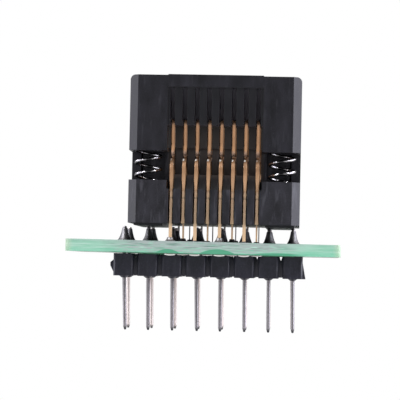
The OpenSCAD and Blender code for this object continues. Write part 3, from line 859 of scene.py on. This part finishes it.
# Points on the neck, the knee and the lever's foot: right edge, left edge
KNEE = (
    ((5.62, 16.75), (5.05, 16.95)),
    ((5.55, 17.6), (5.03, 17.6)),
    ((5.5, 18.0), (5.01, 18.0)),
    ((5.48, 18.15), (5.0, 18.15)),
    ((5.48, 18.3), (5.0, 18.3)),
    ((5.5, 18.36), (4.99, 18.36)),
    ((5.53, 18.42), (4.99, 18.42)),
    ((5.58, 18.5), (4.99, 18.5)),
    ((5.62, 18.6), (4.99, 18.6)),
    ((5.66, 18.75), (5.0, 18.75)),
    ((5.69, 18.96), (5.02, 18.98)),
)
TIP, TIP_R = Vector((5.85, 21.82)), 0.33
# Rise of the tip's right edge
TIP_RISE = {"front": 0.33, "rear": 0.42}

# Thickness along the row at a height: of the tails on the inner and the outer row, of the stems
# above them, and of the arms
TAIL_T = {"front": (0.18, 0.34), "rear": (0.12, 0.2)}
STEM_T = (
    (11.2, 0.28), (13.72, 0.27), (13.86, 0.25), (14.0, 0.27), (15.1, 0.28), (15.5, 0.32),
    (15.8, 0.36), (16.1, 0.37), (17.3, 0.35), (17.7, 0.33), (30, 0.33),
)
ARM_T = {
    "front": (
        (0, 0.36), (18.0, 0.34), (18.15, 0.28), (18.3, 0.28), (18.36, 0.4), (18.42, 0.47),
        (18.5, 0.46), (18.6, 0.37), (18.96, 0.37), (20.5, 0.37), (21.3, 0.35), (21.9, 0.31),
        (30, 0.31),
    ),
    "rear": ((0, 0.36), (17.3, 0.36), (17.6, 0.46), (18.6, 0.46), (18.75, 0.44), (30, 0.44)),
}
NOSE_T = 0.36
# How far a front arm stands to the left of its stem at a height
LEVER_SHIFT = (
    (0, 0.0), (17.0, 0.0), (18.0, 0.05), (18.3, 0.05), (18.42, 0.018), (18.5, 0.022),
    (18.6, 0.066), (19.0, 0.066), (19.4, 0.035), (30, 0.035),
)
RIM = 0.035


def along(a, b, n):
    """Pairs of points from pair a to pair b, without a itself."""
    return [tuple(Vector(p).lerp(Vector(q), k / n) for p, q in zip(a, b)) for k in range(1, n + 1)]


def around(centre, r_right, r_left, a0, a1, n):
    """Pairs of points on two arcs about a centre, without the first."""
    out = []
    for k in range(1, n + 1):
        a = math.radians(a0 + (a1 - a0) * k / n)
        d = Vector((math.cos(a), math.sin(a)))
        out.append((centre + d * r_right, centre + d * r_left))
    return out


def vectors(pairs):
    """Pairs of points as vectors."""
    return [(Vector(right), Vector(left)) for right, left in pairs]


def contact_path(side, i):
    """Pairs of edge points (right, left) along the strip.

    Also the places on the path where the nose branches off on the left and the foot on the right.
    """
    u = tail_u(i)
    right, left = u + TAIL_HALF, u - TAIL_HALF
    path = vectors((((u + 0.2, 7.91), (u - 0.2, 7.91)), ((right, 7.96), (left, 7.96))))
    path += along(path[-1], ((right, TAIL_TOP), (left, TAIL_TOP)), 4)
    foot_at = None
    if u == TAIL_IN:
        path += along(path[-1], ((right, 12.2), (left, 12.2)), 2)
        foot_at = len(path)
        path += vectors(FOOT)
    else:
        path += vectors([FOOT_END[::-1]])
    path += vectors(((STEM_OUT, z), (STEM_IN, z)) for z in (*STEM_Z, LOOP.y))
    path += around(LOOP, LOOP_R + HALF, LOOP_R - HALF, 0, 180, 20)
    limb_u = LOOP.x - LOOP_R
    path += along(path[-1], ((limb_u - HALF, BEND.y), (limb_u + HALF, BEND.y)), 6)
    path += around(BEND, BEND_R - HALF, BEND_R + HALF, 360, 180, 28)
    path += along(path[-1], ARM_TOP, 5)
    nose_at = len(path) - 1
    path += vectors(KNEE)
    path += along(path[-1], (TIP + Vector((TIP_R, 0)), TIP - Vector((TIP_R, 0))), 10)
    for k in range(1, 6):
        a = math.radians(84 * k / 5)
        reach = TIP_R * math.cos(a)
        right = TIP + Vector((reach, TIP_RISE[side] * math.sin(a)))
        path.append((right, TIP + Vector((-reach, TIP_R * math.sin(a)))))
    return path, nose_at, foot_at


def stepped(steps, z):
    """Value at a height, from a list of (height, value) with straight lines between them."""
    for (z0, t0), (z1, t1) in zip(steps, steps[1:]):
        if z <= z1:
            return t0 + (t1 - t0) * (z - z0) / (z1 - z0)
    return steps[-1][1]


def thickness(side, i, z, on_arm):
    """Thickness of the sheet along the row, by height."""
    tail = TAIL_T[side][i % 2]
    return stepped(ARM_T[side] if on_arm else ((0, tail), (TAIL_TOP, tail), *STEM_T), z)


def contact(side, i):
    """One contact: two flat faces with a rim, rounded edges, bent between its base and its arm."""
    s, x = SIGN[side], lead_x(i)
    path, nose_at, foot_at = contact_path(side, i)
    bend_mid = next(k for k, (right, _) in enumerate(path) if right.x < BEND.x)
    bm = bmesh.new()

    def vert(p, t, aside=0.0):
        """The points of both flat faces at one place."""
        return [bm.verts.new((x + aside + e * t / 2, s * p[0], p[1])) for e in (-1, 1)]

    rows = []
    for k, pair in enumerate(path):
        on_arm = k >= bend_mid
        shifted = on_arm and side == "front"
        row = []
        for p in pair:
            aside = -stepped(LEVER_SHIFT, p.y) if shifted else 0.0
            row.append(vert(p, thickness(side, i, p.y, on_arm), aside))
        rows.append(row)
    flats = [(a[0], b[0], b[1], a[1]) for a, b in zip(rows, rows[1:])]
    nose = [vert(p, NOSE_T) for p in NOSE]
    flats.append((rows[nose_at][1], rows[nose_at + 1][1], *nose))
    if foot_at:
        foot = [vert(p, NOSE_T) for p in FOOT_END]
        flats.append((rows[foot_at + 1][0], rows[foot_at][0], *foot))
    sides_of = {}
    for face in flats:
        for e in (0, 1):
            bm.faces.new([v[e] for v in (face if e else face[::-1])])
        for a, b in zip(face, face[1:] + face[:1]):
            sides_of.setdefault(frozenset((a[0], b[0])), []).append((a, b))
    rims = set()
    for pairs in sides_of.values():
        if len(pairs) == 1:
            a, b = pairs[0]
            rims.add(bm.faces.new((a[0], b[0], b[1], a[1])))
    edges = [e for e in bm.edges
             if len(e.link_faces) == 2 and sum(f in rims for f in e.link_faces) == 1]
    rounded(bm, edges, RIM, slide=False)
    obj = piece(f"strip_{side}_{i}", bm, GOLD, None,
                [f"contact_{side}_{i}", f"arm_{side}_{i}"], angle=20)
    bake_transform(obj)


for side in SIDES:
    for i in POSITIONS:
        contact(side, i)


# Light and camera

# Point that the lamps are aimed at
MIDDLE = (1, 0, 16)
COOL, SOFT = (0.86, 0.86, 1.0), (0.96, 0.96, 1.0)


def world_light(diffuse):
    """A world that looks white and lights the object by a given strength."""
    world = bpy.data.worlds.new("studio")
    bpy.context.scene.world = world
    world.use_nodes = True
    tree = world.node_tree
    back = tree.nodes["Background"]
    back.inputs["Color"].default_value = (1, 1, 1, 1)
    path = tree.nodes.new("ShaderNodeLightPath")
    seen = path.outputs["Is Camera Ray"]
    for name in ("Is Glossy Ray", "Is Transmission Ray"):
        add = tree.nodes.new("ShaderNodeMath")
        add.use_clamp = True
        tree.links.new(seen, add.inputs[0])
        tree.links.new(path.outputs[name], add.inputs[1])
        seen = add.outputs[0]
    strength = tree.nodes.new("ShaderNodeMapRange")
    tree.links.new(seen, strength.inputs[0])
    strength.inputs[3].default_value = diffuse
    strength.inputs[4].default_value = 1.0
    tree.links.new(strength.outputs[0], back.inputs["Strength"])


def softbox(name, at, size, radiance, tall=None, glossy=True, diffuse=True, tint=SOFT):
    """A lamp of a given width, height and brightness, aimed at the object; in millimetres."""
    lamp = bpy.data.lights.new(name, "AREA")
    lamp.shape = "RECTANGLE"
    lamp.size, lamp.size_y = size * MM, (tall or size) * MM
    lamp.energy = radiance * math.pi * lamp.size * lamp.size_y
    lamp.color = tint
    obj = bpy.data.objects.new(name, lamp)
    obj.location = Vector(at) * MM
    obj.rotation_euler = (Vector(MIDDLE) - Vector(at)).to_track_quat("-Z", "Y").to_euler()
    obj.visible_camera = False
    obj.visible_glossy = glossy
    obj.visible_diffuse = diffuse
    bpy.context.scene.collection.objects.link(obj)


def dark_card():
    """A grey screen behind the camera, for the metals to reflect."""
    m = Nodes("dark_card")
    m.set(Base_Color=(0, 0, 0, 1), Roughness=0.9, Specular_IOR_Level=0.0)
    m.set(Emission_Color=(1, 1, 1, 1), Emission_Strength=0.15)
    bm = bmesh.new()
    corners = ((-0.34, 0.0), (0.3, 0.0), (0.3, 0.42), (-0.34, 0.42))
    bm.faces.new([bm.verts.new((x, -0.36, z)) for x, z in corners])
    mesh = bpy.data.meshes.new("dark_card")
    bm.to_mesh(mesh)
    bm.free()
    mesh.materials.append(m.mat)
    card = bpy.data.objects.new("dark_card", mesh)
    card.visible_camera = False
    card.visible_diffuse = False
    card.visible_shadow = False
    bpy.context.scene.collection.objects.link(card)


def camera(at, yaw, pitch, roll, lens):
    """A camera that looks along +Y, turned left by yaw, up by pitch, and rolled; in degrees."""
    data = bpy.data.cameras.new("camera")
    data.lens = lens
    data.sensor_width = 36
    data.clip_start, data.clip_end = 0.005, 20
    cam = bpy.data.objects.new("camera", data)
    turn = Matrix.Rotation(math.radians(yaw), 4, "Z")
    turn @= Matrix.Rotation(math.pi / 2 + math.radians(pitch), 4, "X")
    turn @= Matrix.Rotation(math.radians(roll), 4, "Z")
    cam.matrix_world = Matrix.Translation(Vector(at) * MM) @ turn
    bpy.context.scene.collection.objects.link(cam)
    bpy.context.scene.camera = cam


world_light(0.4)
dark_card()
softbox("right_box", (190, -14, 40), 130, 6.2, tint=COOL)
softbox("left_box", (-190, -14, 30), 120, 3.4, tint=COOL)
softbox("right_key", (165, -140, 60), 45, 9.0, glossy=False)
softbox("left_key", (-165, -140, 60), 40, 7.5, glossy=False)
softbox("top_box", (-10, -110, 230), 110, 3.4, glossy=False)
# Tall strips and a small lamp that only make the metals glint
for name, x in (("left", -1), ("right", 1)):
    softbox(f"{name}_strip", (x * 178, -132, 150), 30, 20.0, tall=170, diffuse=False)
    softbox(f"{name}_back_strip", (x * 186, 122, 150), 30, 20.0, tall=170, diffuse=False)
softbox("spark", (-140, -120, 170), 34, 80.0, diffuse=False)
softbox("front_fill", (10, -340, 60), 260, 1.5, glossy=False)
camera((9.661, -260, 7.1), yaw=2.3109, pitch=1.4986, roll=1.19, lens=218.868)

bpy.context.scene.view_settings.view_transform = "Standard"

bpy.context.view_layer.update()
